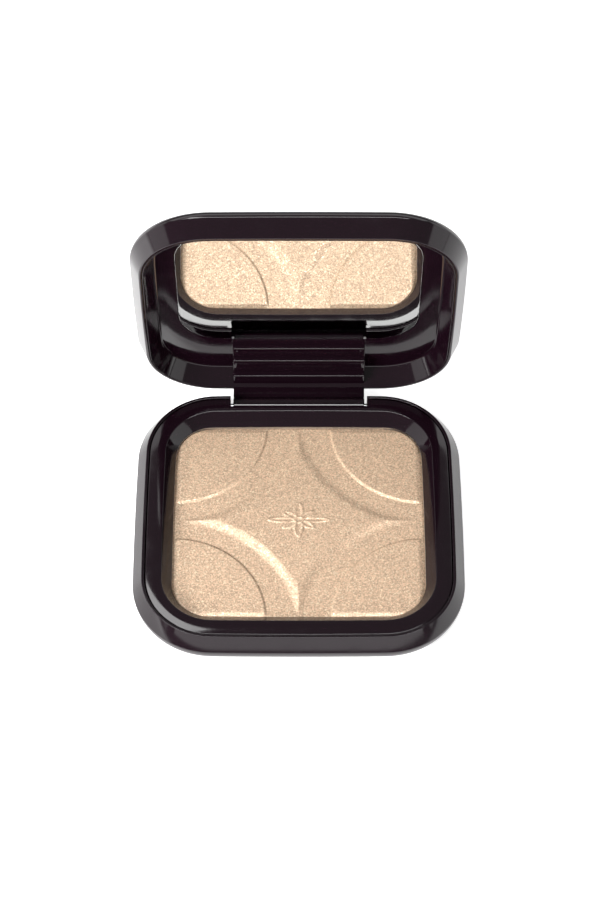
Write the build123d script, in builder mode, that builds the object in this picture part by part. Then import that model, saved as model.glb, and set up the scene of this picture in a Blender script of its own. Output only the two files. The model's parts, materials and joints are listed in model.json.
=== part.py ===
"""Powder compact: a rounded-square clamshell case with a hinged mirror lid and a pressed powder pan.

The case opens on two short steel pins at the rear. Both halves are built in the closed position's
coordinates; the lid half is built on lid_datum, which carries those coordinates to the open lid.

+Z is up, +Y points to the hinge, X runs along the hinge. The origin is the middle of the underside.
All sizes are in millimetres.
"""
import os
from math import cos, radians, sin

from build123d import *

os.makedirs("parts", exist_ok=True)

# ---------------------------------------------------------------- driving dimensions
half_width = 38.6            # parting-line outline, across the hinge direction
half_depth = 36.45           # parting-line outline, front to back
corner_radius = 17.6         # parting-line outline, corners
side_bow = 0.5               # how far the middle of each side stands out
base_rim_z = 8.4             # top of the base
lid_rim_z = 8.6              # closed lid's lower edge, 0.2 above the base
flare = 2.3                  # how much wider each half is away from the parting line
base_flare_z = 4.8           # widest level of the base
lid_flare_z = 13.2           # widest level of the closed lid
lid_top_z = 16.0             # top of the closed lid
foot_round = 4.3             # rounding under the base
crown_round = 2.6            # rounding over the lid
waist_edge = 0.3             # small round on the widest edge
lip = 0.8                    # shell edge visible at the parting line
wall = 1.3                   # shell wall at the widest level
floor_top_z = 1.2            # top of the base shell's floor
floor_inset = 1.2            # rim edge to the foot of the base's cavity
roof_inset = -0.1            # rim edge to the top of the lid's cavity
roof_z = 14.8                # inside face of the closed lid shell's roof
frame_gap = 0.05             # frame to shell

# base frame and powder
ledge = 4.8                  # rim edge to the top of the sloping well wall
pan_half_width = 31.3        # powder's edge, across the hinge direction
pan_half_depth = 28.7        # powder's edge, front to back
pan_corner = 9.5             # powder's corners
pan_bow = 0.3                # how far the middle of each powder edge stands out
powder_z = 5.4               # top of the pressed star, level with the foot of the well wall
plate = 1.2                  # frame plate thickness
skirt = 1.0                  # frame skirt thickness
skirt_foot_z = 5.0           # lower end of the base frame's outer skirt
pan_wall = 0.35              # pressed aluminium pan
pan_gap = 0.2                # pan to the frame around it
lip_over_pan = 0.15          # thin edge of the well that covers the pan's rim
pan_drop = 0.05              # pan's rim to that edge
glue = 0.3                   # adhesive pad under the pan
glue_inset = 2.0             # pad's edge inside the powder's edge
relief = 0.7                 # height of the pressed star over the valleys
corner_relief = 0.4          # height of the pressed corner fields over the valleys
relief_inset = 0.8           # flat margin round the pressed pattern
star_radius = 35.0           # arcs that bound the star
star_centre = 35.0           # their centres, along X and along Y
field_radius = 23.5          # arcs that bound the corner fields

# lid frame and mirror
recess = 5.0                 # depth of the mirror bezel below the lid's edge
recess_inset = 3.4           # rim edge to the bezel
rim_edge = 0.1               # flat edge of the lid frame at the parting line
mirror_half_width = 30.0
mirror_low_y = -30.75        # mirror's edge near the front of the case
mirror_high_y = 18.95        # mirror's edge near the hinge
mirror_corner = 11.0
mirror_gap = 0.15
mirror_z = 13.6              # mirror's reflecting face, lid closed
mirror_tape = 0.15
tape_inset = 2.0             # tape's edge inside the mirror's edge

# hinge
hinge_y = 36.6
hinge_z = 3.6
open_angle = 81.5            # lid opening in the modelled pose
knuckle_half = 16.9
notch_half = 17.5
notch_depth = 3.1            # rim edge to the notch's inner wall
knuckle_radius = 1.9
knuckle_top_z = 13.6
knuckle_inner_y = 35.8       # inner face of the web above the knuckle, inside the shell's lip
pin_radius = 0.75
pin_bore = 0.80              # running bore in the lid's knuckle
pin_inner_x = 9.0
pin_outer_x = 22.5
lug_outer_x = 23.5
lug_outer_y = 37.38
lug_inner_y = 35.0
lug_top_z = 4.6
stop_height = 0.2            # low lip on the floor under the knuckle
stop_depth = 0.7
stop_y = 36.9
stop_side_gap = 1.0          # lip's end to the notch's side
boss_steps = ((14.6, 3.6), (10.8, 2.2), (5.2, 0.9))   # distance in from the rear, depth below the edge

# closure and label
magnet_x = 12.0
magnet_length = 8.0
magnet_depth = 1.5
magnet_height = 1.8
lid_magnet_depth = 1.0
magnet_gap = 0.1             # magnet to the frame beside it
label_width = 40.0
label_depth = 20.0
label_y = 18.0               # label's middle, clear of the middle of the underside
label_corner = 4.0
label_recess = 0.3
label_thick = 0.2
label_gap = 0.15

# an edge lies in a plane when all of these points along it do, within the tolerance
edge_samples = (0, 0.37, 0.71)
edge_tolerance = 1e-4

# ---------------------------------------------------------------- datums
turn = radians(open_angle)
# The closed case's origin, carried round the hinge axis with the lid.
datum_y = hinge_y - hinge_y * cos(turn) - hinge_z * sin(turn)
datum_z = hinge_z + hinge_y * sin(turn) - hinge_z * cos(turn)
lid_datum = Plane(origin=(0, datum_y, datum_z), x_dir=(1, 0, 0), z_dir=(0, sin(turn), cos(turn)))
# Side section at the lid's left end, sketched in closed (y, z) coordinates, drawn along the hinge.
lid_section = Plane(origin=lid_datum.origin, x_dir=lid_datum.y_dir, z_dir=(1, 0, 0))


def bowed_outline(across, along, radius, bow):
    """Add a rounded rectangle with bowed sides to the sketch being drawn."""
    corner_x = across - bow
    corner_y = along - bow
    with BuildLine() as sides:
        ThreePointArc((corner_x, -corner_y), (across, 0), (corner_x, corner_y))
        ThreePointArc((corner_x, corner_y), (0, along), (-corner_x, corner_y))
        ThreePointArc((-corner_x, corner_y), (-across, 0), (-corner_x, -corner_y))
        ThreePointArc((-corner_x, -corner_y), (0, -along), (corner_x, -corner_y))
    make_face(sides.edges())
    fillet(vertices(), radius)


def outline_on(plane, inset):
    """Return the case's outline, moved inwards by inset, as a face on the plane."""
    with BuildSketch(plane) as outline:
        bowed_outline(half_width - inset, half_depth - inset, corner_radius - inset, side_bow)
    return outline.sketch.faces()[0]


def pan_on(plane, grow=0.0):
    """Return the powder's outline, moved outwards by grow, as a face on the plane."""
    with BuildSketch(plane) as outline:
        bowed_outline(pan_half_width + grow, pan_half_depth + grow, pan_corner + grow, pan_bow)
    return outline.sketch.faces()[0]


def between(low_face, high_face):
    """Return the solid that runs straight from one outline up to another."""
    return loft([low_face, high_face], ruled=True, mode=Mode.PRIVATE)


def mirror_outline(grow):
    """Add the mirror's rounded outline, grown by grow, to the sketch being drawn."""
    with Locations((0, (mirror_low_y + mirror_high_y) / 2)):
        RectangleRounded(
            2 * (mirror_half_width + grow),
            mirror_high_y - mirror_low_y + 2 * grow,
            mirror_corner + grow,
        )


def edges_at(part, plane):
    """Return the part's edges that lie in the plane."""
    return part.edges().filter_by(lambda edge: all(
        abs(plane.to_local_coords(edge @ where).Z) < edge_tolerance for where in edge_samples
    ))


notch_wall_y = half_depth - notch_depth

base_rim = Plane.XY.offset(base_rim_z)
base_waist = Plane.XY.offset(base_flare_z)
powder_level = Plane.XY.offset(powder_z)
skirt_foot = Plane.XY.offset(skirt_foot_z)
floor_top = Plane.XY.offset(floor_top_z)

# ---------------------------------------------------------------- base shell
with BuildPart() as base_shell:
    add(between(outline_on(base_waist, -flare), outline_on(base_rim, 0)))
    extrude(outline_on(Plane.XY, -flare), amount=base_flare_z)
    fillet(edges_at(base_shell.part, base_waist), waist_edge)
    fillet(edges_at(base_shell.part, Plane.XY), foot_round)
    add(between(outline_on(base_waist, wall - flare), outline_on(base_rim, lip)), mode=Mode.SUBTRACT)
    # The cavity's foot slopes in, to follow the rounding under the base.
    add(
        between(outline_on(floor_top, floor_inset), outline_on(base_waist, wall - flare)),
        mode=Mode.SUBTRACT,
    )
    # Lugs that hold the hinge pins, one each side of the notch.
    with BuildSketch(floor_top):
        with Locations(
            ((notch_half + lug_outer_x) / 2, (lug_inner_y + lug_outer_y) / 2),
            (-(notch_half + lug_outer_x) / 2, (lug_inner_y + lug_outer_y) / 2),
        ):
            Rectangle(lug_outer_x - notch_half, lug_outer_y - lug_inner_y)
    extrude(amount=lug_top_z - floor_top_z)
    # Notch in the rear wall for the lid's knuckle.
    with BuildSketch(floor_top):
        with Locations((0, notch_wall_y)):
            Rectangle(2 * notch_half, 2 * notch_depth + 2 * flare, align=(Align.CENTER, Align.MIN))
    extrude(amount=base_rim_z, mode=Mode.SUBTRACT)
    # Low lip under the knuckle.
    with BuildSketch(floor_top):
        with Locations((0, stop_y)):
            Rectangle(2 * (notch_half - stop_side_gap), stop_depth)
    extrude(amount=stop_height)
    # Holes for the pins.
    with BuildSketch(Plane.YZ.offset(-lug_outer_x)):
        with Locations((hinge_y, hinge_z)):
            Circle(pin_radius)
    extrude(amount=2 * lug_outer_x, mode=Mode.SUBTRACT)
    # Recess for the label.
    with BuildSketch(Plane.XY):
        with Locations((0, label_y)):
            RectangleRounded(label_width, label_depth, label_corner)
    extrude(amount=label_recess, mode=Mode.SUBTRACT)

# ---------------------------------------------------------------- base frame
frame_inset = lip + frame_gap
pocket_grow = pan_wall + pan_gap
with BuildPart() as base_frame:
    extrude(outline_on(skirt_foot, frame_inset), amount=base_rim_z - skirt_foot_z)
    extrude(
        outline_on(skirt_foot, frame_inset + skirt),
        amount=base_rim_z - plate - skirt_foot_z,
        mode=Mode.SUBTRACT,
    )
    # Wall round the pan, from the shell's floor up into the plate.
    extrude(pan_on(floor_top, pocket_grow + skirt), amount=powder_z - floor_top_z)
    add(between(pan_on(powder_level, pocket_grow + skirt), outline_on(base_rim, ledge - skirt)))
    # Sloping well above the powder, and the pan's pocket below it.
    add(between(pan_on(powder_level), outline_on(base_rim, ledge)), mode=Mode.SUBTRACT)
    extrude(
        pan_on(floor_top, pocket_grow),
        amount=powder_z - lip_over_pan - floor_top_z,
        mode=Mode.SUBTRACT,
    )
    extrude(pan_on(powder_level), amount=-lip_over_pan, mode=Mode.SUBTRACT)
    # Walls along three sides of the notch, then the notch itself.
    with BuildSketch(floor_top):
        with Locations((0, lug_inner_y)):
            Rectangle(
                2 * notch_half + 2 * skirt,
                lug_inner_y - notch_wall_y + skirt,
                align=(Align.CENTER, Align.MAX),
            )
    extrude(amount=base_rim_z - floor_top_z)
    with BuildSketch(floor_top):
        with Locations((0, notch_wall_y)):
            Rectangle(2 * notch_half, 2 * notch_depth, align=(Align.CENTER, Align.MIN))
    extrude(amount=base_rim_z, mode=Mode.SUBTRACT)

# ---------------------------------------------------------------- powder
pan_floor_z = floor_top_z + glue
with BuildPart() as pan_adhesive:
    extrude(pan_on(floor_top, -glue_inset), amount=glue)

with BuildPart() as powder_pan:
    pan_top_z = powder_z - lip_over_pan - pan_drop
    extrude(pan_on(Plane.XY.offset(pan_floor_z), pan_wall), amount=pan_top_z - pan_floor_z)
    extrude(pan_on(Plane.XY.offset(pan_floor_z + pan_wall)), amount=powder_z, mode=Mode.SUBTRACT)

valley_z = powder_z - relief
with BuildPart() as powder_cake:
    extrude(
        pan_on(Plane.XY.offset(pan_floor_z + pan_wall)),
        amount=valley_z - pan_floor_z - pan_wall,
    )
    # Four-cusped star, bounded by four arcs.
    with BuildSketch(Plane.XY.offset(valley_z)):
        add(pan_on(Plane.XY, -relief_inset))
        with GridLocations(2 * star_centre, 2 * star_centre, 2, 2):
            Circle(star_radius, mode=Mode.SUBTRACT)
    extrude(amount=relief)
    # Raised corner fields.
    with BuildSketch(Plane.XY.offset(valley_z)):
        add(pan_on(Plane.XY, -relief_inset))
        with BuildSketch(mode=Mode.PRIVATE) as field_circles:
            with GridLocations(2 * pan_half_width, 2 * pan_half_depth, 2, 2):
                Circle(field_radius)
        add(field_circles.sketch, mode=Mode.INTERSECT)
    extrude(amount=corner_relief)

# ---------------------------------------------------------------- label, magnets, pins
with BuildPart() as base_label:
    with BuildSketch(Plane.XY.offset(label_recess - label_thick)):
        with Locations((0, label_y)):
            RectangleRounded(
                label_width - 2 * label_gap, label_depth - 2 * label_gap, label_corner - label_gap
            )
    extrude(amount=label_thick)

base_magnet_y = -(half_depth - frame_inset - skirt - magnet_gap - magnet_depth / 2)
with BuildPart() as base_magnets:
    with BuildSketch(Plane.XY.offset(base_rim_z - plate - magnet_height)):
        with Locations((magnet_x, base_magnet_y), (-magnet_x, base_magnet_y)):
            Rectangle(magnet_length, magnet_depth)
    extrude(amount=magnet_height)

with BuildPart() as hinge_pins:
    for side in (-1, 1):
        with BuildSketch(Plane.YZ.offset(side * pin_inner_x)):
            with Locations((hinge_y, hinge_z)):
                Circle(pin_radius)
        extrude(amount=side * (pin_outer_x - pin_inner_x))

# ---------------------------------------------------------------- lid shell, with the hinge knuckle
lid_rim = lid_datum.offset(lid_rim_z)
lid_waist = lid_datum.offset(lid_flare_z)
with BuildPart() as lid_shell:
    add(between(outline_on(lid_rim, 0), outline_on(lid_waist, -flare)))
    extrude(outline_on(lid_waist, -flare), amount=lid_top_z - lid_flare_z)
    fillet(edges_at(lid_shell.part, lid_waist), waist_edge)
    fillet(edges_at(lid_shell.part, lid_datum.offset(lid_top_z)), crown_round)
    # Knuckle block below the rear wall, round at its end.
    with BuildSketch(lid_section.offset(-knuckle_half)):
        with Locations((hinge_y, hinge_z)):
            Circle(knuckle_radius)
        with BuildLine():
            Polyline(
                (knuckle_inner_y, hinge_z),
                (hinge_y + knuckle_radius, hinge_z),
                (hinge_y + knuckle_radius, knuckle_top_z),
                (knuckle_inner_y, knuckle_top_z),
                close=True,
            )
        make_face()
    extrude(amount=2 * knuckle_half)
    add(between(outline_on(lid_rim, lip), outline_on(lid_waist, wall - flare)), mode=Mode.SUBTRACT)
    # The cavity's top slopes in, to follow the rounding over the lid.
    add(
        between(outline_on(lid_waist, wall - flare), outline_on(lid_datum.offset(roof_z), roof_inset)),
        mode=Mode.SUBTRACT,
    )
    # Running bores for the two pins.
    with BuildSketch(lid_section.offset(-knuckle_half)):
        with Locations((hinge_y, hinge_z)):
            Circle(pin_bore)
    extrude(amount=2 * knuckle_half, mode=Mode.SUBTRACT)

# ---------------------------------------------------------------- lid frame, with the mirror bezel
bezel_z = lid_rim_z + recess
frame_back_z = roof_z - frame_gap
with BuildPart() as lid_frame:
    extrude(outline_on(lid_rim, frame_inset), amount=frame_back_z - lid_rim_z)
    add(
        between(
            outline_on(lid_rim, frame_inset + rim_edge),
            outline_on(lid_datum.offset(bezel_z), recess_inset),
        ),
        mode=Mode.SUBTRACT,
    )
    # Stepped boss over the hinge.
    for reach, depth in boss_steps:
        with BuildSketch(lid_datum.offset(lid_rim_z + depth)):
            with Locations((0, half_depth - frame_inset)):
                Rectangle(2 * knuckle_half, reach - frame_inset, align=(Align.CENTER, Align.MAX))
        extrude(amount=recess - depth)
    # Window for the mirror.
    with BuildSketch(lid_rim):
        mirror_outline(mirror_gap)
    extrude(amount=roof_z, mode=Mode.SUBTRACT)
    # Pockets for the magnets, open to the shell's side.
    lid_magnet_y = -(half_depth - frame_inset - lid_magnet_depth / 2)
    with BuildSketch(lid_datum.offset(frame_back_z - magnet_height)):
        with Locations((magnet_x, lid_magnet_y), (-magnet_x, lid_magnet_y)):
            Rectangle(magnet_length + magnet_gap, lid_magnet_depth + magnet_gap)
    extrude(amount=2 * magnet_height, mode=Mode.SUBTRACT)

with BuildPart() as lid_magnets:
    with BuildSketch(lid_datum.offset(frame_back_z - magnet_height)):
        with Locations((magnet_x, lid_magnet_y), (-magnet_x, lid_magnet_y)):
            Rectangle(magnet_length, lid_magnet_depth)
    extrude(amount=magnet_height)

# ---------------------------------------------------------------- mirror
with BuildPart() as mirror:
    with BuildSketch(lid_datum.offset(mirror_z)):
        mirror_outline(0)
    extrude(amount=roof_z - mirror_tape - mirror_z)

with BuildPart() as mirror_tape_pad:
    with BuildSketch(lid_datum.offset(roof_z - mirror_tape)):
        mirror_outline(-tape_inset)
    extrude(amount=mirror_tape)

# ---------------------------------------------------------------- files
pieces = {
    "base_shell": base_shell,
    "base_frame": base_frame,
    "pan_adhesive": pan_adhesive,
    "powder_pan": powder_pan,
    "powder_cake": powder_cake,
    "base_label": base_label,
    "base_magnets": base_magnets,
    "hinge_pins": hinge_pins,
    "lid_shell": lid_shell,
    "lid_frame": lid_frame,
    "lid_magnets": lid_magnets,
    "mirror": mirror,
    "mirror_tape": mirror_tape_pad,
}
for name, piece in pieces.items():
    piece.part.label = name
    export_step(piece.part, f"parts/{name}.step")
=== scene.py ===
"""Powder compact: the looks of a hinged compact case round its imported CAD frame.

Every surface is a profile carried round a rounded outline, or a height over a grid, worked out with
numpy in millimetres in the closed case's coordinates, and put in place in metres.
"""

import json
from math import cos, radians, sin

import bmesh
import bpy
import numpy as np
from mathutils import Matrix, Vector


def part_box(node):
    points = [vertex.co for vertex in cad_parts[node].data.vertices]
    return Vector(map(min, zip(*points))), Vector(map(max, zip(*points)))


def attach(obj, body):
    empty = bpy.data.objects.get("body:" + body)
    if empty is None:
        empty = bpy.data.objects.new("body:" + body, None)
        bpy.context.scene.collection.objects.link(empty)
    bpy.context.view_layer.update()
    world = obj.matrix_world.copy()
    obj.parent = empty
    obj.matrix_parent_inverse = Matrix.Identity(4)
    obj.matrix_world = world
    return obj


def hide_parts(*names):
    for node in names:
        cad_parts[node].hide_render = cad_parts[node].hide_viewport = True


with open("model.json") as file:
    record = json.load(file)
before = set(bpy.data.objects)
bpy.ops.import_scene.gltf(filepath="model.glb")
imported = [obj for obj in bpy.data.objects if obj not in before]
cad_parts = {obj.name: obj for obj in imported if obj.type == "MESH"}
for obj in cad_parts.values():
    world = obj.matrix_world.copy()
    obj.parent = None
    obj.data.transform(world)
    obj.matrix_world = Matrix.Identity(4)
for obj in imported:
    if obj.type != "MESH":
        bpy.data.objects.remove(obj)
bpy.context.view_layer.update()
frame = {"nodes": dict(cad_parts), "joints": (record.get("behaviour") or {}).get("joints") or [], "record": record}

bl_info = {
    "name": "Powder Compact",
    "version": (1, 0, 0),
    "blender": (4, 5, 0),
    "location": "3D View > Sidebar > Compact",
    "description": "Builds a hinged powder compact, piece by piece, round its CAD frame",
    "category": "Object",
}

MM = 0.001
hinge = frame["joints"][0]
HINGE_Y, HINGE_Z = (1000 * c for c in hinge["pos_m"][1:])
OPEN_ANGLE = -radians(hinge["range_deg"][0])


# ---------------------------------------------------------------- settings
def length(name, default, description):
    """A length property, given in millimetres."""
    return bpy.props.FloatProperty(
        name=name, description=description, default=default * MM, unit="LENGTH", precision=5
    )


def colour(name, default, description):
    return bpy.props.FloatVectorProperty(
        name=name, description=description, default=default, size=3, min=0, max=1, subtype="COLOR"
    )


def fraction(name, default, description):
    return bpy.props.FloatProperty(
        name=name, description=description, default=default, min=0, max=1, subtype="FACTOR"
    )


def strength(name, default, description):
    return bpy.props.FloatProperty(name=name, description=description, default=default, min=0)


class CompactCase(bpy.types.PropertyGroup):
    """Sizes that the base and the lid share."""

    half_width: length("Half width", 38.6, "Middle to side at the parting line")
    half_depth: length("Half depth", 36.45, "Middle to front at the parting line")
    corner: length("Corner", 17.6, "Corner radius at the parting line")
    bow: length("Bow", 0.5, "How far the middle of each side stands out")
    flare: length("Flare", 2.3, "How much wider each half is away from the parting line")
    wall: length("Wall", 1.3, "Shell wall at the widest level")
    lip: length("Lip", 0.8, "Shell edge that shows at the parting line")
    gap: length("Gap", 0.05, "Shell to inner frame")
    base_rim: length("Base rim", 8.4, "Height of the base's upper edge")
    base_waist: length("Base waist", 4.8, "Height of the base's widest level")
    foot_round: length("Foot round", 4.3, "Rounding under the base")
    floor_top: length("Floor top", 1.2, "Height of the base shell's floor inside")
    floor_inset: length("Floor inset", 1.2, "Rim edge to the foot of the base's cavity")
    lid_rim: length("Lid rim", 8.6, "Height of the closed lid's lower edge")
    lid_waist: length("Lid waist", 13.2, "Height of the closed lid's widest level")
    lid_top: length("Lid top", 16.0, "Height of the closed lid")
    roof: length("Roof", 14.8, "Height of the closed lid's roof inside")
    crown_round: length("Crown round", 2.35, "Rounding over the lid")
    dome: length("Dome", 0.25, "How far the lid's top swells and the frame's top falls outwards")
    edge: length("Edge", 0.45, "Small round on the widest edge")
    fine_edge: length("Fine edge", 0.2, "Small round on the thin edges")


class CompactInside(bpy.types.PropertyGroup):
    """Sizes of the well, the mirror bezel and the hinge."""

    ledge: length("Ledge", 4.8, "Rim edge to the top of the well's slope")
    well: length("Well", 7.3, "Rim edge to the powder, at the sides")
    pan_half_x: length("Pan half width", 31.3, "Middle to side of the powder")
    pan_half_y: length("Pan half depth", 28.7, "Middle to front of the powder")
    pan_corner: length("Pan corner", 9.5, "Powder's corner radius")
    pan_bow: length("Pan bow", 0.3, "How far the middle of each powder edge stands out")
    powder_level: length("Powder level", 5.4, "Height of the powder's highest lines")
    pocket: length("Pocket", 6.75, "Rim edge to the pan's pocket, at the sides")
    skirt: length("Skirt", 1.0, "Thickness of the frame's walls")
    skirt_foot: length("Skirt foot", 5.0, "Height of the outer skirt's lower end")
    plate: length("Plate", 1.2, "Thickness of the frame's top")
    recess: length("Recess", 5.0, "Depth of the mirror bezel")
    bezel: length("Bezel", 3.4, "Rim edge to the flat bezel")
    mirror_half: length("Mirror half width", 30.0, "Middle to side of the mirror")
    mirror_low: length("Mirror low", -30.75, "Mirror's edge at the front of the case")
    mirror_high: length("Mirror high", 18.95, "Mirror's edge at the hinge")
    mirror_corner: length("Mirror corner", 11.0, "Mirror's corner radius")
    mirror_face: length("Mirror face", 13.6, "Height of the mirror's face, lid closed")
    mirror_back: length("Mirror back", 14.65, "Height of the mirror's back, lid closed")
    mirror_bevel: length("Mirror bevel", 0.06, "Width of the mirror's ground edge")
    knuckle_half: length("Knuckle half", 16.9, "Half the knuckle's length")
    knuckle_radius: length("Knuckle radius", 1.9, "Radius of the knuckle's end")
    notch_half: length("Notch half", 17.5, "Half the notch's width")
    notch_depth: length("Notch depth", 3.1, "Rim edge to the notch's inner wall")
    lug_end: length("Lug end", 23.5, "Middle to the outer end of the lugs that hold the pins")
    lug_y: length("Lug middle", 36.1, "Middle of the lugs, front to back")


class CompactPowder(bpy.types.PropertyGroup):
    """The pressed pattern."""

    star: length("Star", 0.55, "Height of the star over the valleys")
    star_arc: length("Star arc", 35.0, "Radius and centre distance of the star's arcs")
    star_slope: length("Star slope", 3.3, "Width of the star's sloping sides")
    field: length("Corner field", 0.34, "Height of the corner fields over the valleys")
    field_arc: length("Field arc", 23.5, "Radius of the corner fields")
    field_slope: length("Field slope", 0.55, "Width of the corner fields' step")
    motif: length("Motif", 0.15, "Height of the rosette's lines")
    motif_reach: length("Motif reach", 5.2, "Length of the rosette's rays, front to back")
    across: bpy.props.IntProperty(name="Across", description="Grid columns", default=310)
    along: bpy.props.IntProperty(name="Along", description="Grid rows", default=290)


class CompactFinish(bpy.types.PropertyGroup):
    """Colours and polish."""

    plastic: colour("Plastic", (0.0072, 0.0024, 0.005), "Glossy case plastic")
    plastic_rough: fraction("Plastic roughness", 0.07, "Roughness of the case plastic")
    powder: colour("Powder", (0.59, 0.41, 0.275), "Pressed powder")
    pearl: colour("Pearl", (1.0, 0.86, 0.62), "Pearl flakes in the powder")
    silver: colour("Silver", (0.9, 0.91, 0.9), "Mirror coating")
    metal: colour("Metal", (0.62, 0.62, 0.63), "Steel, tin and nickel")
    foam: colour("Foam", (0.62, 0.6, 0.55), "Adhesive foam")
    film: colour("Film", (0.03, 0.025, 0.028), "Blank label film")


class CompactStage(bpy.types.PropertyGroup):
    """Floor, light and camera."""

    floor: colour("Floor", (0.9, 0.9, 0.9), "Floor colour")
    floor_glow: strength("Floor glow", 0.75, "Own light of the floor")
    sky: strength("Sky", 0.22, "Surrounding light")
    back_panel: strength("Back panel", 1.4, "Radiance of the panel behind and above")
    side_panels: strength("Side panels", 1.0, "Radiance of the panels at the left and right")
    front_panel: strength("Front panel", 1.5, "Radiance of the low panel in front")
    key: strength("Key", 33.0, "Radiance of the key light, which shades the powder")
    top_box: strength("Top box", 16.0, "Radiance of the box overhead, which draws the fine edges")
    sheen_box: strength("Sheen box", 7.0, "Radiance of the box that brings out the powder's sheen")
    elevation: bpy.props.FloatProperty(
        name="Elevation", description="Camera height angle", default=radians(54), unit="ROTATION"
    )
    distance: length("Distance", 639.0, "Camera to the middle of the rim")
    rise: length("Rise", 15.46, "How far the rim's middle sits below the view's middle")
    shift: length("Side step", 0.3, "How far the camera stands to the right")
    lens: bpy.props.FloatProperty(
        name="Lens", description="Focal length", default=102.9, unit="CAMERA"
    )


GROUPS = {
    "compact_case": CompactCase,
    "compact_inside": CompactInside,
    "compact_powder": CompactPowder,
    "compact_finish": CompactFinish,
    "compact_stage": CompactStage,
}


class Millimetres:
    """Reads a property group's lengths in millimetres."""

    def __init__(self, group):
        self.group = group

    def __getattr__(self, name):
        return getattr(self.group, name) / MM


# ---------------------------------------------------------------- outlines and profiles
def rounded_outline(half_x, half_y, radius, bow=0.01, middle=(0.0, 0.0), per_side=10, per_corner=20):
    """Points and outward normals of a rounded rectangle with bowed sides, anticlockwise.

    Each side is an arc of radius (c*c + bow*bow) / (2*bow) over its half chord c. Each corner is an
    arc whose middle lies its own radius inside both side arcs, where two circles about the side
    arcs' middles cross. A quarter is worked out and reflected into the other three.
    """
    side_x = ((half_y - bow) ** 2 + bow**2) / (2 * bow)
    side_y = ((half_x - bow) ** 2 + bow**2) / (2 * bow)
    a, b = half_x - side_x, half_y - side_y
    near_x, near_y = side_x - radius, side_y - radius
    # The two circles' crossing lies on the line cy = slope*cx + start.
    slope = a / b
    start = (near_x**2 - near_y**2 + b * b - a * a) / (2 * b)
    qa, qb, qc = 1 + slope**2, 2 * (slope * (start - b)), (start - b) ** 2 - near_y**2
    cx = (-qb + np.sqrt(qb * qb - 4 * qa * qc)) / (2 * qa)
    cy = slope * cx + start
    first, last = np.arctan2(cy, cx - a), np.arctan2(cy - b, cx)
    right = np.linspace(0, first, per_side, endpoint=False)
    turn = np.linspace(first, last, per_corner, endpoint=False)
    top = np.linspace(last, np.pi / 2, per_side, endpoint=False)
    angle = np.concatenate([right, turn, top])
    middle_x = np.repeat([a, cx, 0.0], [per_side, per_corner, per_side])
    middle_y = np.repeat([0.0, cy, b], [per_side, per_corner, per_side])
    reach = np.repeat([side_x, radius, side_y], [per_side, per_corner, per_side])
    normal = np.stack([np.cos(angle), np.sin(angle)], 1)
    quarter = np.stack([middle_x, middle_y], 1) + reach[:, None] * normal
    end, end_normal = np.array([[0.0, half_y]]), np.array([[0.0, 1.0]])
    points, normals = [], []
    for sign_x, sign_y in ((1, 1), (-1, 1), (-1, -1), (1, -1)):
        sign = np.array([sign_x, sign_y])
        part, part_normal = quarter * sign, normal * sign
        if sign_x * sign_y < 0:
            part = np.concatenate([part, end * sign])[::-1][:-1]
            part_normal = np.concatenate([part_normal, end_normal * sign])[::-1][:-1]
        points.append(part)
        normals.append(part_normal)
    return np.concatenate(points) + np.array(middle), np.concatenate(normals)


def rounded_path(corners, closed=False, steps=6):
    """A polyline whose corners (x, y, radius) are rounded by tangent arcs.

    A corner's arc starts and ends radius * tan(turn / 2) before and after it, and its points are the
    corner's own angle swept in equal steps about the arc's middle on the bisector.
    """
    xy = np.array([c[:2] for c in corners], float)
    radii = [c[2] if len(c) > 2 else 0.0 for c in corners]
    count = len(xy)
    found = []
    for i in range(count):
        if radii[i] == 0 or (not closed and i in (0, count - 1)):
            found.append(xy[i][None])
            continue
        back, ahead = xy[i - 1] - xy[i], xy[(i + 1) % count] - xy[i]
        back, ahead = back / np.linalg.norm(back), ahead / np.linalg.norm(ahead)
        half = np.arccos(np.clip(back @ ahead, -1, 1)) / 2
        bisector = (back + ahead) / np.linalg.norm(back + ahead)
        middle = xy[i] + bisector * radii[i] / np.sin(half)
        start = xy[i] + back * radii[i] / np.tan(half) - middle
        sweep = np.pi - 2 * half
        if back[0] * ahead[1] - back[1] * ahead[0] > 0:
            sweep = -sweep
        t = np.linspace(0, sweep, steps + 1)
        turned = np.stack(
            [np.cos(t) * start[0] - np.sin(t) * start[1], np.sin(t) * start[0] + np.cos(t) * start[1]], 1
        )
        found.append(middle + turned)
    return np.concatenate(found)


def path_normals(path):
    """Outward normals of a closed anticlockwise path: each point's chord, turned right."""
    chord = np.roll(path, -1, 0) - np.roll(path, 1, 0)
    normal = np.stack([chord[:, 1], -chord[:, 0]], 1)
    return normal / np.linalg.norm(normal, axis=1, keepdims=True)


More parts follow.
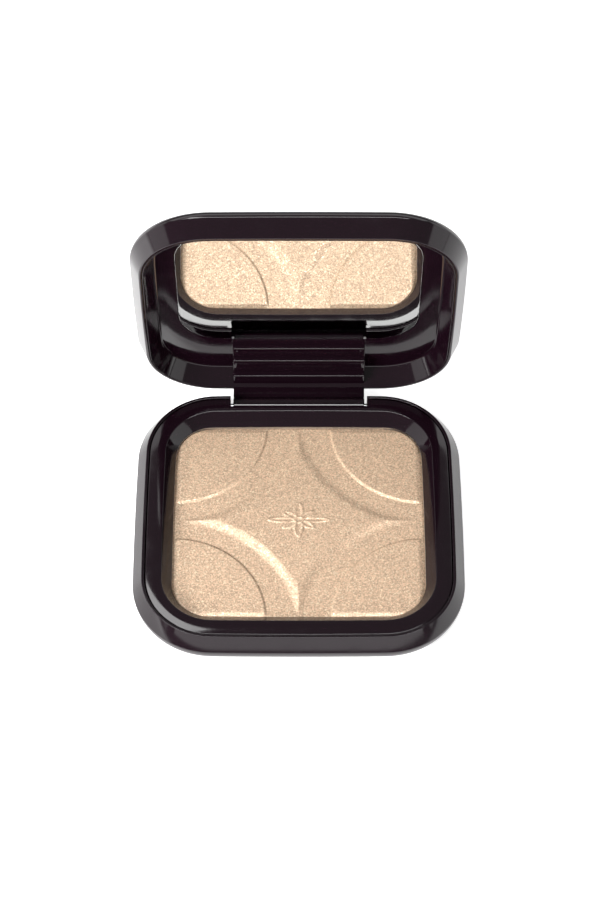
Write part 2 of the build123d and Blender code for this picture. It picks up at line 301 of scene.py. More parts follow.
def carried(outline, profile, shrink=None, loop=False, inner=None, pole=None):
    """Vertices and faces of a profile carried round an outline.

    A profile row is (outset, height): the point is outline + outset * normal, at that height. Where
    shrink is given, the point is then drawn towards the pole, which is the outline's middle unless it
    is given, and 0 reaches it. Where inner is given as (points, start, end), the points from the
    outset start on go straight to the inner points, which they reach at the outset end.
    """
    points, normals = outline
    profile = np.asarray(profile, float)
    rows, columns = len(profile), len(points)
    shrink = np.ones(rows) if shrink is None else np.asarray(shrink, float)
    middle = (points.max(0) + points.min(0)) / 2 if pole is None else np.array(pole)
    outset = profile[:, :1, None]
    if inner is None:
        flat = points[None] + outset * normals[None]
    else:
        target, start, end = inner
        flat = points[None] + np.maximum(outset, start) * normals[None]
        share = np.clip((start - outset) / (start - end), 0, None)
        flat = flat + share * (target[None] - flat)
    flat = middle + shrink[:, None, None] * (flat - middle)
    height = np.repeat(profile[:, 1], columns).reshape(rows, columns, 1)
    vertices = np.concatenate([flat, height], 2).reshape(-1, 3)
    index = np.arange(rows * columns).reshape(rows, columns)
    if loop:
        index = np.vstack([index, index[:1]])
    here, there = index[:-1], index[1:]
    quads = np.stack([here, np.roll(here, -1, 1), np.roll(there, -1, 1), there], 2).reshape(-1, 4)
    return vertices, quads


def opened(vertices):
    """The lid's vertices, turned about the hinge axis from closed to open."""
    y, z = vertices[:, 1] - HINGE_Y, vertices[:, 2] - HINGE_Z
    turned_y = HINGE_Y + y * cos(OPEN_ANGLE) + z * sin(OPEN_ANGLE)
    turned_z = HINGE_Z - y * sin(OPEN_ANGLE) + z * cos(OPEN_ANGLE)
    return np.stack([vertices[:, 0], turned_y, turned_z], 1)


def turn_open(piece):
    """Turn a lid piece that was built closed about the hinge axis, vertex by vertex."""
    mesh = piece.data
    closed = np.array([v.co for v in mesh.vertices]) / MM
    mesh.vertices.foreach_set("co", (opened(closed) * MM).ravel())
    mesh.update()


def make_mesh(name, vertices, faces, sharp=35):
    """A smooth-shaded object from vertices in millimetres, with poles merged and sharp edges kept."""
    mesh = bpy.data.meshes.new(name)
    mesh.from_pydata((vertices * MM).tolist(), [], [list(f) for f in faces])
    piece = bpy.data.objects.new(name, mesh)
    bpy.context.scene.collection.objects.link(piece)
    clean(piece, sharp)
    return piece


def clean(piece, sharp=35):
    """Merge doubled vertices, drop faces with no area, and smooth all but the sharp edges."""
    bm = bmesh.new()
    bm.from_mesh(piece.data)
    bmesh.ops.remove_doubles(bm, verts=bm.verts, dist=1e-7)
    bmesh.ops.dissolve_degenerate(bm, edges=bm.edges, dist=1e-8)
    bm.to_mesh(piece.data)
    bm.free()
    piece.data.shade_smooth()
    piece.data.set_sharp_from_angle(angle=radians(sharp))


def combine(piece, other, operation):
    """Join or cut the piece with another closed mesh, which is used up."""
    modifier = piece.modifiers.new(operation, "BOOLEAN")
    modifier.operation = operation
    modifier.object = other
    modifier.solver = "EXACT"
    bpy.context.view_layer.update()
    result = bpy.data.meshes.new_from_object(piece.evaluated_get(bpy.context.evaluated_depsgraph_get()))
    piece.modifiers.clear()
    old = piece.data
    piece.data = result
    result.name = piece.name
    bpy.data.meshes.remove(old)
    bpy.data.objects.remove(other)
    clean(piece)


def block(outline, low, high, round_low=0.0, outset_high=0.0):
    """A closed block: an outline raised from low to high, its lower edge rounded by a quarter circle.

    outset_high flares the last stretch outwards along a quarter circle, which rounds the edge that
    the block cuts, and the block then goes on past it.
    """
    past = 3.0
    rows = [(0.0, low, 0.0), (-round_low, low, 1.0)]
    t = np.linspace(0, np.pi / 2, 6)
    if round_low:
        rows += [(round_low * (np.sin(a) - 1), low + round_low * (1 - np.cos(a)), 1.0) for a in t[1:]]
    if outset_high:
        rows += [(outset_high * (1 - np.cos(a)), high - outset_high * (1 - np.sin(a)), 1.0) for a in t]
        rows += [(outset_high, high + past, 1.0), (0.0, high + past, 0.0)]
    else:
        rows += [(0.0, high, 1.0), (0.0, high, 0.0)]
    rows = np.array(rows)
    return carried(outline, rows[:, :2], rows[:, 2])


def profile_rows(start, corners, end):
    """Rows of a surface from pole to pole: a start disc, rounded corners and an end disc.

    start and end are heights of the poles. The disc rows shrink in equal steps, and the end disc
    rises to its pole along a parabola.
    """
    rings = 8
    path = rounded_path(corners, steps=9)
    shares = np.linspace(0, 1, rings, endpoint=False)
    first, last = path[0], path[-1]
    rows = [np.column_stack([np.full(rings, first[0]), np.full(rings, start), shares])]
    rows.append(np.column_stack([path, np.ones(len(path))]))
    back = shares[::-1]
    lift = last[1] + (end - last[1]) * (1 - back**2)
    rows.append(np.column_stack([np.full(rings, last[0]), lift, back]))
    return np.concatenate(rows)


# ---------------------------------------------------------------- materials
class Link:
    """A socket that adds Math nodes when it is used in an expression."""

    def __init__(self, paint, socket):
        self.paint, self.socket = paint, socket

    def _math(self, operation, first, second):
        return self.paint.node("ShaderNodeMath", {"operation": operation}, {0: first, 1: second})

    def __add__(self, other):
        return self._math("ADD", self, other)

    def __radd__(self, other):
        return self._math("ADD", other, self)

    def __rsub__(self, other):
        return self._math("SUBTRACT", other, self)

    def __mul__(self, other):
        return self._math("MULTIPLY", self, other)

    def __rmul__(self, other):
        return self._math("MULTIPLY", other, self)

    def between(self, low, high):
        """0 below low, 1 above high, smooth in between."""
        return self.paint.node(
            "ShaderNodeMapRange",
            {"interpolation_type": "SMOOTHSTEP"},
            {"Value": self, "From Min": low, "From Max": high},
        )


class Paint:
    """A material that is built from its shader outwards."""

    def __init__(self, name, **constants):
        self.material = bpy.data.materials.new(name)
        self.material.use_nodes = True
        self.tree = self.material.node_tree
        self.shader = self.tree.nodes["Principled BSDF"]
        for socket, value in constants.items():
            self.set(socket.replace("_", " ").title().replace("Ior", "IOR"), value)

    def set(self, socket, value):
        target = self.shader.inputs[socket]
        if isinstance(value, Link):
            self.tree.links.new(value.socket, target)
        elif hasattr(value, "__len__"):
            target.default_value = (*value[:3], 1.0)
        else:
            target.default_value = value

    def node(self, kind, settings=None, inputs=None, output=0):
        """Any node: its settings first, then its inputs, which are values or links."""
        made = self.tree.nodes.new(kind)
        for name, value in (settings or {}).items():
            setattr(made, name, value)
        for name, value in (inputs or {}).items():
            socket = made.inputs[name]
            if isinstance(value, Link):
                self.tree.links.new(value.socket, socket)
            elif hasattr(value, "__len__") and socket.type == "RGBA":
                socket.default_value = (*value[:3], 1.0)
            else:
                socket.default_value = value
        return Link(self, made.outputs[output])

    def place(self):
        return self.node("ShaderNodeTexCoord", output="Object")

    def noise(self, scale, detail=3.0, roughness=0.55, stretch=(1, 1, 1)):
        """Noise over the piece, with scale in cells per metre."""
        at = self.node("ShaderNodeMapping", {}, {"Vector": self.place(), "Scale": stretch})
        return self.node(
            "ShaderNodeTexNoise",
            {"noise_dimensions": "3D"},
            {"Vector": at, "Scale": scale, "Detail": detail, "Roughness": roughness},
        )

    def cells(self, scale):
        """A random brightness for each small cell, with scale in cells per metre."""
        colour = self.node("ShaderNodeTexVoronoi", {}, {"Vector": self.place(), "Scale": scale}, "Color")
        return self.node("ShaderNodeSeparateColor", {}, {"Color": colour})

    def mix(self, share, first, second):
        return self.node(
            "ShaderNodeMix", {"data_type": "RGBA"}, {0: share, 6: first, 7: second}, output=2
        )

    def bump(self, height, distance, strength=1.0):
        return self.node(
            "ShaderNodeBump", {}, {"Height": height, "Distance": distance * MM, "Strength": strength}
        )


def glossy_plastic(finish):
    """Polished moulded plastic: even and dark, with faint handling haze and a trace of mould flow."""
    paint = Paint("glossy_case_plastic", base_color=finish.plastic, ior=1.5)
    haze = paint.noise(180, 4).between(0.45, 0.75)
    dust = paint.noise(2600, 2).between(0.72, 0.8)
    paint.set("Roughness", finish.plastic_rough + 0.05 * haze + 0.06 * dust)
    flow = paint.noise(60, 2)
    paint.set("Normal", paint.bump(flow, 0.006))
    return paint.material


def pressed_powder(finish):
    """Pressed powder: a warm, matt, grainy ground with fine golden flakes, each its own brightness."""
    paint = Paint("pressed_champagne_powder", ior=1.45)
    ground = paint.noise(900, 4)
    grain = paint.cells(4200)
    flake = paint.cells(3700)
    dark = tuple(0.5 * c for c in finish.powder)
    light = tuple(min(1.0, 1.48 * c) for c in finish.powder)
    body = paint.mix(0.3 * ground + 0.7 * grain, dark, light)
    glow = flake.between(0.8, 1.0)
    paint.set("Base Color", paint.mix(0.6 * glow, body, finish.pearl))
    paint.set("Metallic", 0.22 + 0.3 * glow)
    paint.set("Roughness", 0.42 - 0.08 * glow)
    paint.set("Normal", paint.bump(ground + 0.7 * grain, 0.02, 0.5))
    return paint.material


def silvered_glass(finish):
    """Mirror coating under clear glass, with the faintest wipe marks."""
    paint = Paint("silvered_mirror", base_color=finish.silver, metallic=1.0)
    wipe = paint.noise(40, 3, stretch=(1, 4, 1)).between(0.4, 0.9)
    paint.set("Roughness", 0.012 + 0.02 * wipe)
    return paint.material


def drawn_steel(finish):
    """Steel wire with fine lines along its length."""
    paint = Paint("drawn_steel", metallic=1.0)
    lines = paint.noise(9000, 2, stretch=(0.05, 1, 1))
    paint.set("Base Color", paint.mix(lines, tuple(0.8 * c for c in finish.metal), finish.metal))
    paint.set("Roughness", 0.22 + 0.15 * lines)
    paint.set("Normal", paint.bump(lines, 0.004))
    return paint.material


def pressed_tin(finish):
    """Pan metal with a soft rolled grain."""
    paint = Paint("pressed_tin", metallic=1.0)
    grain = paint.noise(2500, 3, stretch=(1, 0.1, 1))
    paint.set("Base Color", paint.mix(grain, tuple(0.85 * c for c in finish.metal), finish.metal))
    paint.set("Roughness", 0.32 + 0.12 * grain)
    paint.set("Normal", paint.bump(grain, 0.005))
    return paint.material


def nickel(finish):
    """Bright nickel plate with a little orange peel."""
    paint = Paint("nickel_plate", base_color=finish.metal, metallic=1.0)
    peel = paint.noise(1800, 2)
    paint.set("Roughness", 0.14 + 0.1 * peel)
    paint.set("Normal", paint.bump(peel, 0.008))
    return paint.material


def adhesive_foam(finish):
    """Double-sided foam: matt, with open cells."""
    paint = Paint("adhesive_foam")
    cells = paint.node("ShaderNodeTexVoronoi", {}, {"Vector": paint.place(), "Scale": 3500.0})
    paint.set("Base Color", paint.mix(cells, tuple(0.6 * c for c in finish.foam), finish.foam))
    paint.set("Roughness", 0.85 + 0.1 * cells)
    paint.set("Normal", paint.bump(cells, 0.05))
    return paint.material


def label_film(finish):
    """Satin printed film, left blank."""
    paint = Paint("blank_label_film", base_color=finish.film)
    tooth = paint.noise(7000, 2)
    paint.set("Roughness", 0.38 + 0.12 * tooth)
    paint.set("Normal", paint.bump(tooth, 0.006))
    return paint.material


FINISHES = {
    "case_plastic": glossy_plastic,
    "powder": pressed_powder,
    "mirror_glass": silvered_glass,
    "pin_steel": drawn_steel,
    "pan_metal": pressed_tin,
    "magnet": nickel,
    "adhesive": adhesive_foam,
    "label_film": label_film,
}


def material_for(slot):
    """The slot's material, made once."""
    for known in bpy.data.materials:
        if known.get("slot") == slot:
            return known
    made = FINISHES[slot](bpy.context.scene.compact_finish)
    made["slot"] = slot
    return made


def finish_piece(piece, slot, body, *nodes):
    """Give a new piece its finish, its body and the CAD nodes that it stands for."""
    piece.data.materials.clear()
    piece.data.materials.append(material_for(slot))
    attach(piece, body)
    if nodes:
        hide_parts(*nodes)


# ---------------------------------------------------------------- pieces
def case_outline(case):
    """The parting-line outline, as points and normals."""
    return rounded_outline(case.half_width, case.half_depth, case.corner, case.bow)


def pan_outline(inside):
    """The powder's outline, as points and normals."""
    return rounded_outline(inside.pan_half_x, inside.pan_half_y, inside.pan_corner, inside.pan_bow)


def cut_notch(piece, case, inside, low, high):
    """Cut the hinge notch out of the rear wall, with its upper edge rounded."""
    reach, corner, edge_round = 6.0, 0.3, 0.25
    outline = rounded_outline(
        inside.notch_half, reach, corner, middle=(0, case.half_depth - inside.notch_depth + reach),
        per_side=4, per_corner=5,
    )
    notch = make_mesh("notch", *block(outline, low, high, outset_high=edge_round))
    combine(piece, notch, "DIFFERENCE")


class OBJECT_OT_compact_base_shell(bpy.types.Operator):
    """Outer base shell: flared wall, rounded foot, lugs and notch for the hinge, label recess."""

    bl_idname = "object.compact_base_shell"
    bl_label = "Base shell"

    def execute(self, context):
        case = Millimetres(context.scene.compact_case)
        inside = Millimetres(context.scene.compact_inside)
        fine = case.fine_edge
        soft = 0.5
        sunk = 0.1
        rows = profile_rows(
            0.0,
            [
                (case.flare - case.foot_round, 0.0),
                (case.flare, 0.0, case.foot_round - 0.01),
                (case.flare, case.base_waist, case.edge),
                (0.0, case.base_rim, fine),
                (-case.lip, case.base_rim, fine),
                (case.flare - case.wall, case.base_waist, soft),
                (-case.floor_inset, case.floor_top, soft),
                (-case.floor_inset - 1, case.floor_top),
            ],
            case.floor_top,
        )
        vertices, faces = carried(case_outline(case), rows[:, :2], rows[:, 2])
        shell = make_mesh("outer_base_shell", vertices, faces)
        # The lugs reach past the notch's sides, so that the notch cuts their inner ends flush.
        lug_low, lug_high = inside.notch_half - 0.5, inside.lug_end
        lug_half_y, lug_corner = 1.1, 0.3
        lug_top = inside.skirt_foot - 0.5
        for side in (-1, 1):
            outline = rounded_outline(
                (lug_high - lug_low) / 2, lug_half_y, lug_corner,
                middle=(side * (lug_low + lug_high) / 2, inside.lug_y), per_side=2, per_corner=4,
            )
            lug = make_mesh("lug", *block(outline, case.floor_top - sunk, lug_top))
            combine(shell, lug, "UNION")
        cut_notch(shell, case, inside, case.floor_top, case.base_rim)
        # The stop is a low ridge on the notch's floor, just behind the hinge axis.
        stop_half_y, stop_corner, stop_height, stop_behind = 0.35, 0.12, 0.2, 0.1
        ridge = rounded_outline(
            inside.notch_half - 1, stop_half_y, stop_corner, middle=(0, HINGE_Y + stop_behind),
            per_side=2, per_corner=3,
        )
        stop = make_mesh("stop", *block(ridge, case.floor_top - sunk, case.floor_top + stop_height))
        combine(shell, stop, "UNION")
        low, high = (np.array(corner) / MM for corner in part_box("base_label"))
        margin, recess_corner, below = 0.15, 4.0, -2.0
        recess = rounded_outline(
            (high[0] - low[0]) / 2 + margin, (high[1] - low[1]) / 2 + margin, recess_corner,
            middle=(0, (low[1] + high[1]) / 2), per_side=3, per_corner=8,
        )
        cutter = make_mesh("recess", *block(recess, below, high[2]))
        combine(shell, cutter, "DIFFERENCE")
        finish_piece(shell, "case_plastic", "base", "base_shell")
        return {"FINISHED"}


class OBJECT_OT_compact_base_frame(bpy.types.Operator):
    """Inner base frame: a gently swelling top, a crisp edge and a slope down to the powder."""

    bl_idname = "object.compact_base_frame"
    bl_label = "Base frame"

    def execute(self, context):
        case = Millimetres(context.scene.compact_case)
        inside = Millimetres(context.scene.compact_inside)
        outer = -(case.lip + case.gap)
        clear = 0.02
        top = case.base_rim - clear
        foot = case.floor_top + clear
        swell = case.dome
        middle = (outer - inside.ledge) / 2
        overhang = inside.powder_level - 0.15
        crisp, rounded, inner_bend, swell_round = 0.1, 0.3, 0.5, 6.0
        corners = [
            (outer, inside.skirt_foot, crisp),
            (outer, top - swell, rounded),
            (middle, top - swell / 4, swell_round),
            (-inside.ledge, top, rounded),
            (-inside.well, inside.powder_level, 0.12),
            (-inside.well, overhang, 0.05),
            (-inside.pocket, overhang, crisp),
            (-inside.pocket, foot, crisp),
            (-inside.pocket + inside.skirt, foot, crisp),
            (-inside.pocket + inside.skirt, inside.powder_level, inner_bend),
            (-inside.ledge + inside.skirt, top - inside.plate, rounded),
            (outer - inside.skirt, top - inside.plate, rounded),
            (outer - inside.skirt, inside.skirt_foot, crisp),
        ]
        vertices, faces = carried(
            case_outline(case),
            rounded_path(corners, closed=True),
            loop=True,
            inner=(pan_outline(inside)[0], -inside.ledge, -inside.well),
        )
        body = make_mesh("inner_base_frame", vertices, faces)
        # A block across the hinge, which the notch leaves as thin walls round its sides.
        notch_y = case.half_depth - inside.notch_depth
        half_y, corner, below_top = 1.4, 0.2, 0.6
        around = rounded_outline(
            inside.notch_half + inside.skirt, half_y, corner,
            middle=(0, notch_y - inside.skirt + half_y), per_side=3, per_corner=3,
        )
        walls = make_mesh("walls", *block(around, case.floor_top + 0.1, top - below_top))
        combine(body, walls, "UNION")
        cut_notch(body, case, inside, -1.0, top - case.dome / 3)
        finish_piece(body, "case_plastic", "base", "base_frame")
        return {"FINISHED"}


def smooth_step(value, width):
    """0 below 0, 1 above width, with a cosine between them."""
    return 0.5 - 0.5 * np.cos(np.pi * np.clip(value / width, 0, 1))


def powder_relief(x, y, powder, half_x, half_y):
    """Height of the pressed pattern over the valleys.

    The star is where a point is outside all four arcs about the corners; its height rises over
    star_slope. Corner fields are where a point is inside an arc about the nearest pan corner. Both
    fade out in a narrow margin at the pan's edge, and the higher of the two counts. The rosette is
    the outlines of eight thin lenses round a small ring, stretched sideways. A line's height falls
    off as the exponential of minus its distance squared over its half width squared.
    """
    margin, star_fade, field_margin, field_fade = 0.6, 2.4, 0.2, 1.6
    stretch, rays, short_ray, lens, line_half = 1.5, 8, 0.7, 0.62, 0.2
    ray_start, ring_radius = 0.9, 0.75
    ax, ay = np.abs(x), np.abs(y)
    from_arc = np.hypot(powder.star_arc - ax, powder.star_arc - ay) - powder.star_arc
    star = powder.star * smooth_step(from_arc, powder.star_slope)
    inside_field = powder.field_arc - np.hypot(half_x - ax, half_y - ay)
    field = powder.field * smooth_step(inside_field, powder.field_slope)
    edge = np.minimum(half_x - ax, half_y - ay)
    star *= smooth_step(edge - margin, star_fade)
    field *= smooth_step(edge - field_margin, field_fade)
    reach = np.hypot(x / stretch, y)
    angle = np.arctan2(y, x / stretch)
    petal = np.abs(np.mod(angle * rays / (2 * np.pi) + 0.5, 1) - 0.5) * 2 * np.pi / rays
    long_ray = np.abs(np.cos(2 * angle)) > 0.5
    limit = np.where(long_ray, powder.motif_reach, short_ray * powder.motif_reach)
    t = np.clip(reach / limit, 0, 1)
    half_width = lens * np.sin(np.pi * t) ** 0.8
    line = np.abs(petal * reach - half_width)
    ray = np.exp(-((line / line_half) ** 2)) * (reach < limit) * (reach > ray_start)
    ring = np.exp(-(((reach - ring_radius) / line_half) ** 2))
    return np.maximum(star, field) + powder.motif * np.maximum(ray, ring)


class OBJECT_OT_compact_powder(bpy.types.Operator):
    """Pressed powder: a height over a grid whose rows are stretched to the pan's outline."""

    bl_idname = "object.compact_powder"
    bl_label = "Powder"

    def execute(self, context):
        inside = Millimetres(context.scene.compact_inside)
        powder = Millimetres(context.scene.compact_powder)
        columns = context.scene.compact_powder.across
        rows = context.scene.compact_powder.along
        half_x, half_y = inside.pan_half_x, inside.pan_half_y
        corner, pan_bow = inside.pan_corner, inside.pan_bow
        crowding = 0.14
        edge_drop, edge_width = 0.22, 0.5
        # Rows crowd towards the ends, where the outline's width changes fastest.
        t = np.linspace(-1, 1, rows)
        v = (1 - crowding) * t + crowding * np.sin(np.pi / 2 * t)
        y_side = half_y * v
        past = np.clip(np.abs(y_side) - (half_y - corner), 0, None)
        bow = pan_bow * (1 - (y_side / half_y) ** 2)
        width = half_x - pan_bow - corner + np.sqrt(np.clip(corner**2 - past**2, 0, None)) + bow
        u = np.linspace(-1, 1, columns)
        x = u[None] * width[:, None]
        y = np.repeat(y_side[:, None], columns, 1)
        y = y * (1 - pan_bow / half_y * (x / half_x) ** 2)
        edge = np.minimum(width[:, None] - np.abs(x), (half_y - np.abs(y_side))[:, None] + 0 * x)
        fall = edge_drop * (1 - smooth_step(edge, edge_width))
        valley = inside.powder_level - powder.motif - powder.star
        top = valley + powder_relief(x, y, powder, half_x, half_y) - fall
        vertices = np.stack([x, y, top], 2).reshape(-1, 3)
        index = np.arange(rows * columns).reshape(rows, columns)
        quads = np.stack([index[:-1, :-1], index[:-1, 1:], index[1:, 1:], index[1:, :-1]], 2).reshape(-1, 4)
        rim = np.concatenate([index[0, :-1], index[:-1, -1], index[-1, :0:-1], index[:0:-1, 0]])
        skirt = vertices[rim].copy()
        skirt[:, 2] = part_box("powder_cake")[0][2] / MM
        lower = rows * columns + np.arange(len(rim))
        wall = np.stack([rim, lower, np.roll(lower, -1), np.roll(rim, -1)], 1)
        faces = [*quads.tolist(), *wall.tolist(), lower[::-1].tolist()]
        cake = make_mesh("pressed_powder", np.concatenate([vertices, skirt]), faces, 60)
        finish_piece(cake, "powder", "base", "powder_cake")
        return {"FINISHED"}


class OBJECT_OT_compact_lid_shell(bpy.types.Operator):
    """Outer lid shell with its rounded crown and the hinge knuckle, turned open."""

    bl_idname = "object.compact_lid_shell"
    bl_label = "Lid shell"

    def execute(self, context):
        case = Millimetres(context.scene.compact_case)
        inside = Millimetres(context.scene.compact_inside)
        fine = case.fine_edge
        inner = case.flare - case.wall
        roof_edge, roof_flat, roof_round = 0.1, 1.5, 0.4
        soft = 0.5
        rows = profile_rows(
            case.roof,
            [
                (roof_edge - roof_flat, case.roof),
                (roof_edge, case.roof, roof_round),
                (inner, case.lid_waist, soft),
                (-case.lip, case.lid_rim, fine),
                (0.0, case.lid_rim, fine),
                (case.flare, case.lid_waist, case.edge),
                (case.flare, case.lid_top - case.dome, case.crown_round),
                (case.flare - case.crown_round - 0.2, case.lid_top - case.dome),
            ],
            case.lid_top,
        )
        vertices, faces = carried(case_outline(case), rows[:, :2], rows[:, 2])
        shell = make_mesh("outer_lid_shell", vertices, faces)
        # The knuckle's section, as (y, z) corners, is carried along the hinge.
        radius = inside.knuckle_radius
        near, far = HINGE_Y - radius, HINGE_Y + radius - 0.03
        web_depth, web_top_round = 0.9, 0.4
        web = near + web_depth
        low = HINGE_Z - radius
        high = case.lid_waist + 0.5
        end_round = 0.98 * radius
        web_foot, nose_top = HINGE_Z + 2.2, HINGE_Z + 1.2
        section = rounded_path(
            [
                (near, low, end_round),
                (far, low, end_round),
                (far, high, web_top_round),
                (web, high, web_top_round),
                (web, web_foot, soft),
                (near, nose_top, soft),
            ],
            closed=True,
            steps=10,
        )
        half, bevel = inside.knuckle_half, 0.25
        t = np.linspace(0, np.pi / 2, 5)
        start = [(bevel * (np.sin(a) - 1), -half + bevel * (1 - np.cos(a)), 1.0) for a in t]
        finish = [(bevel * (np.cos(a) - 1), half - bevel * (1 - np.sin(a)), 1.0) for a in t]
        ends = np.array([(-bevel, -half, 0.0), *start, *finish, (-bevel, half, 0.0)])
        vertices, faces = carried(
            (section, path_normals(section)), ends[:, :2], ends[:, 2], pole=(HINGE_Y, HINGE_Z)
        )
        knuckle = make_mesh("knuckle", vertices[:, [2, 0, 1]], faces)
        combine(shell, knuckle, "UNION")
        turn_open(shell)
        finish_piece(shell, "case_plastic", "lid", "lid_shell")
        return {"FINISHED"}


class OBJECT_OT_compact_lid_frame(bpy.types.Operator):
    """Inner lid frame: slope to the mirror bezel, mirror window and stepped hinge boss, turned open."""

    bl_idname = "object.compact_lid_frame"
    bl_label = "Lid frame"

    def execute(self, context):
        case = Millimetres(context.scene.compact_case)
        inside = Millimetres(context.scene.compact_inside)
        outer = -(case.lip + case.gap)
        rim = case.lid_rim + 0.02
        bezel = rim + inside.recess
        back = case.roof - 0.05
        flat = 2.0
        slope_round, rim_width, rim_round, outer_round = 0.8, 0.15, 0.12, 0.1
        rows = profile_rows(
            bezel,
            [
                (-inside.bezel - flat, bezel),
                (-inside.bezel, bezel, slope_round),
                (outer - rim_width, rim, rim_round),
                (outer, rim, outer_round),
                (outer, back, outer_round),
                (outer - flat, back),
            ],
            back,
        )
        vertices, faces = carried(case_outline(case), rows[:, :2], rows[:, 2])
        body = make_mesh("inner_lid_frame", vertices, faces)
        # Each step of the boss: its reach from the rear rim's edge, and its depth past the rim.
        steps = ((14.6, 3.6), (10.8, 2.2), (5.2, 0.9))
        step_corner, step_round, sunk = 0.25, 0.22, 0.3
        rear = case.half_depth + outer
        for reach, depth in steps:
            half_y = (reach + outer) / 2
            step = rounded_outline(
                inside.knuckle_half, half_y, step_corner, middle=(0, rear - half_y),
                per_side=4, per_corner=4,
            )
            boss = make_mesh("boss", *block(step, rim + depth, bezel + sunk, round_low=step_round))
            combine(body, boss, "UNION")
        clear = 0.12
        half_mirror = (inside.mirror_high - inside.mirror_low) / 2
        window = rounded_outline(
            inside.mirror_half + clear, half_mirror + clear, inside.mirror_corner,
            middle=(0, inside.mirror_low + half_mirror), per_side=7, per_corner=15,
        )
        cutter = make_mesh("window", *block(window, rim, back + 2))
        combine(body, cutter, "DIFFERENCE")
        turn_open(body)
        finish_piece(body, "case_plastic", "lid", "lid_frame")
        return {"FINISHED"}


class OBJECT_OT_compact_mirror(bpy.types.Operator):
    """Mirror with a ground, slightly sloping edge, turned open."""

    bl_idname = "object.compact_mirror"
    bl_label = "Mirror"

    def execute(self, context):
        inside = Millimetres(context.scene.compact_inside)
        half_y = (inside.mirror_high - inside.mirror_low) / 2
        outline = rounded_outline(
            inside.mirror_half, half_y, inside.mirror_corner,
            middle=(0, inside.mirror_low + half_y), per_side=10, per_corner=24,
        )
        face, back = inside.mirror_face, inside.mirror_back
        edge_round, tip_round, slope = 0.05, 0.02, 0.06
        rows = profile_rows(
            face,
            [
                (-inside.mirror_bevel - 0.4, face),
                (-inside.mirror_bevel, face, edge_round),
                (0.0, face + slope, tip_round),
                (0.0, back, edge_round),
                (-1.0, back),
            ],
            back,
        )
        vertices, faces = carried(outline, rows[:, :2], rows[:, 2])
        glass = make_mesh("mirror_plate", opened(vertices), faces, 8)
        finish_piece(glass, "mirror_glass", "lid", "mirror")
        return {"FINISHED"}


class OBJECT_OT_compact_small_parts(bpy.types.Operator):
    """Finishes for the CAD pieces that keep their shape: pan, pins, magnets, pads and label."""

    bl_idname = "object.compact_small_parts"
    bl_label = "Small parts"

    def execute(self, context):
        slots = {part["node"]: part["material_slot"] for part in frame["record"]["subparts"]}
        replaced = {"base_shell", "base_frame", "powder_cake", "lid_shell", "lid_frame", "mirror"}
        for node, piece in frame["nodes"].items():
            if node in replaced:
                continue
            made = material_for(slots[node])
            if not piece.data.materials:
                piece.data.materials.append(made)
            for i in range(len(piece.data.materials)):
                piece.data.materials[i] = made
        return {"FINISHED"}


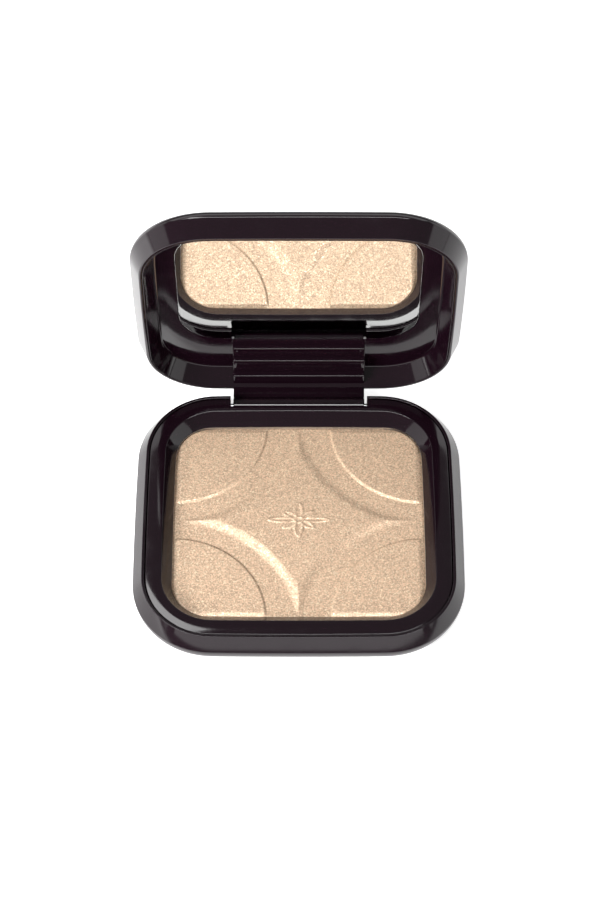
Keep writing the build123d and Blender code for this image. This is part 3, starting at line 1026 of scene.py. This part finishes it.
class OBJECT_OT_compact_stage(bpy.types.Operator):
    """Pale floor, even surrounding light, a low key light from the front left, and the camera."""

    bl_idname = "object.compact_stage"
    bl_label = "Stage"

    def execute(self, context):
        scene = context.scene
        stage = scene.compact_stage
        # Half the floor's side, in metres.
        size = 4.0
        corners = np.array([(-size, -size, 0), (size, -size, 0), (size, size, 0), (-size, size, 0)]) / MM
        floor = make_mesh("floor", corners, [(0, 1, 2, 3)])
        paint = Paint("pale_floor", base_color=stage.floor, roughness=0.9)
        paint.set("Emission Color", (1.0, 1.0, 1.0))
        paint.set("Emission Strength", stage.floor_glow)
        floor.data.materials.append(paint.material)
        world = bpy.data.worlds.new("soft_white")
        world.use_nodes = True
        background = world.node_tree.nodes["Background"]
        background.inputs["Strength"].default_value = stage.sky
        background.inputs["Color"].default_value = (1, 1, 1, 1)
        scene.world = world
        sides = stage.side_panels
        # Places and sizes in metres. The key shades without a reflection, and the boxes only reflect.
        self.panel("back_panel", (0.0, 1.15, 0.95), (2.6, 0.62), stage.back_panel)
        self.panel("left_panel", (-1.3, 0.15, 0.34), (2.2, 0.6), sides)
        self.panel("right_panel", (1.3, 0.15, 0.34), (2.2, 0.6), sides)
        self.panel("front_panel", (0.0, -1.35, 0.43), (3.2, 0.6), stage.front_panel)
        self.panel("key", (-0.6, -0.45, 0.5), (0.35, 0.35), stage.key, glossy=False)
        self.panel("top_box", (0.0, -0.2, 1.1), (1.2, 0.22), stage.top_box, diffuse=False)
        self.panel("sheen_box", (-0.4, 0.28, 1.0), (0.5, 0.5), stage.sheen_box, diffuse=False)
        camera_data = bpy.data.cameras.new("camera")
        camera_data.lens = stage.lens
        camera_data.sensor_width = 36
        camera_data.clip_end = 5 * size
        camera = bpy.data.objects.new("camera", camera_data)
        scene.collection.objects.link(camera)
        toward = Vector((0, -cos(stage.elevation), sin(stage.elevation)))
        up = Vector((0, sin(stage.elevation), cos(stage.elevation)))
        # The view's middle is a little above the base's rim.
        rim = Vector((stage.shift, 0, scene.compact_case.base_rim + 0.1 * MM))
        camera.location = rim + stage.rise * up + stage.distance * toward
        camera.rotation_euler = (radians(90) - stage.elevation, 0, 0)
        scene.camera = camera
        scene.view_settings.view_transform = "Standard"
        return {"FINISHED"}

    def panel(self, name, place, size, radiance, diffuse=True, glossy=True):
        """A rectangular soft light that faces the powder: power is pi * area * radiance."""
        light = bpy.data.lights.new(name, "AREA")
        light.shape = "RECTANGLE"
        light.size, light.size_y = size
        light.energy = np.pi * size[0] * size[1] * radiance
        lamp = bpy.data.objects.new(name, light)
        lamp.visible_camera, lamp.visible_diffuse, lamp.visible_glossy = False, diffuse, glossy
        lamp.location = place
        lamp.rotation_euler = Vector(place).to_track_quat("Z", "Y").to_euler()
        bpy.context.scene.collection.objects.link(lamp)


class VIEW3D_PT_compact(bpy.types.Panel):
    """Sizes, colours and the builders of each piece."""

    bl_label = "Powder Compact"
    bl_space_type = "VIEW_3D"
    bl_region_type = "UI"
    bl_category = "Compact"

    def draw(self, context):
        for name, group in GROUPS.items():
            box = self.layout.box()
            for setting in group.__annotations__:
                box.prop(getattr(context.scene, name), setting)
        for operator in OPERATORS:
            self.layout.operator(operator.bl_idname)


OPERATORS = (
    OBJECT_OT_compact_stage,
    OBJECT_OT_compact_base_shell,
    OBJECT_OT_compact_base_frame,
    OBJECT_OT_compact_powder,
    OBJECT_OT_compact_lid_shell,
    OBJECT_OT_compact_lid_frame,
    OBJECT_OT_compact_mirror,
    OBJECT_OT_compact_small_parts,
)


def register():
    for item in (*GROUPS.values(), *OPERATORS, VIEW3D_PT_compact):
        bpy.utils.register_class(item)
    for name, group in GROUPS.items():
        setattr(bpy.types.Scene, name, bpy.props.PointerProperty(type=group))


def unregister():
    for name in GROUPS:
        delattr(bpy.types.Scene, name)
    for item in (VIEW3D_PT_compact, *reversed(OPERATORS), *reversed(tuple(GROUPS.values()))):
        bpy.utils.unregister_class(item)


def main():
    register()
    for operator in OPERATORS:
        family, name = operator.bl_idname.split(".")
        getattr(getattr(bpy.ops, family), name)()


if __name__ == "__main__":
    main()
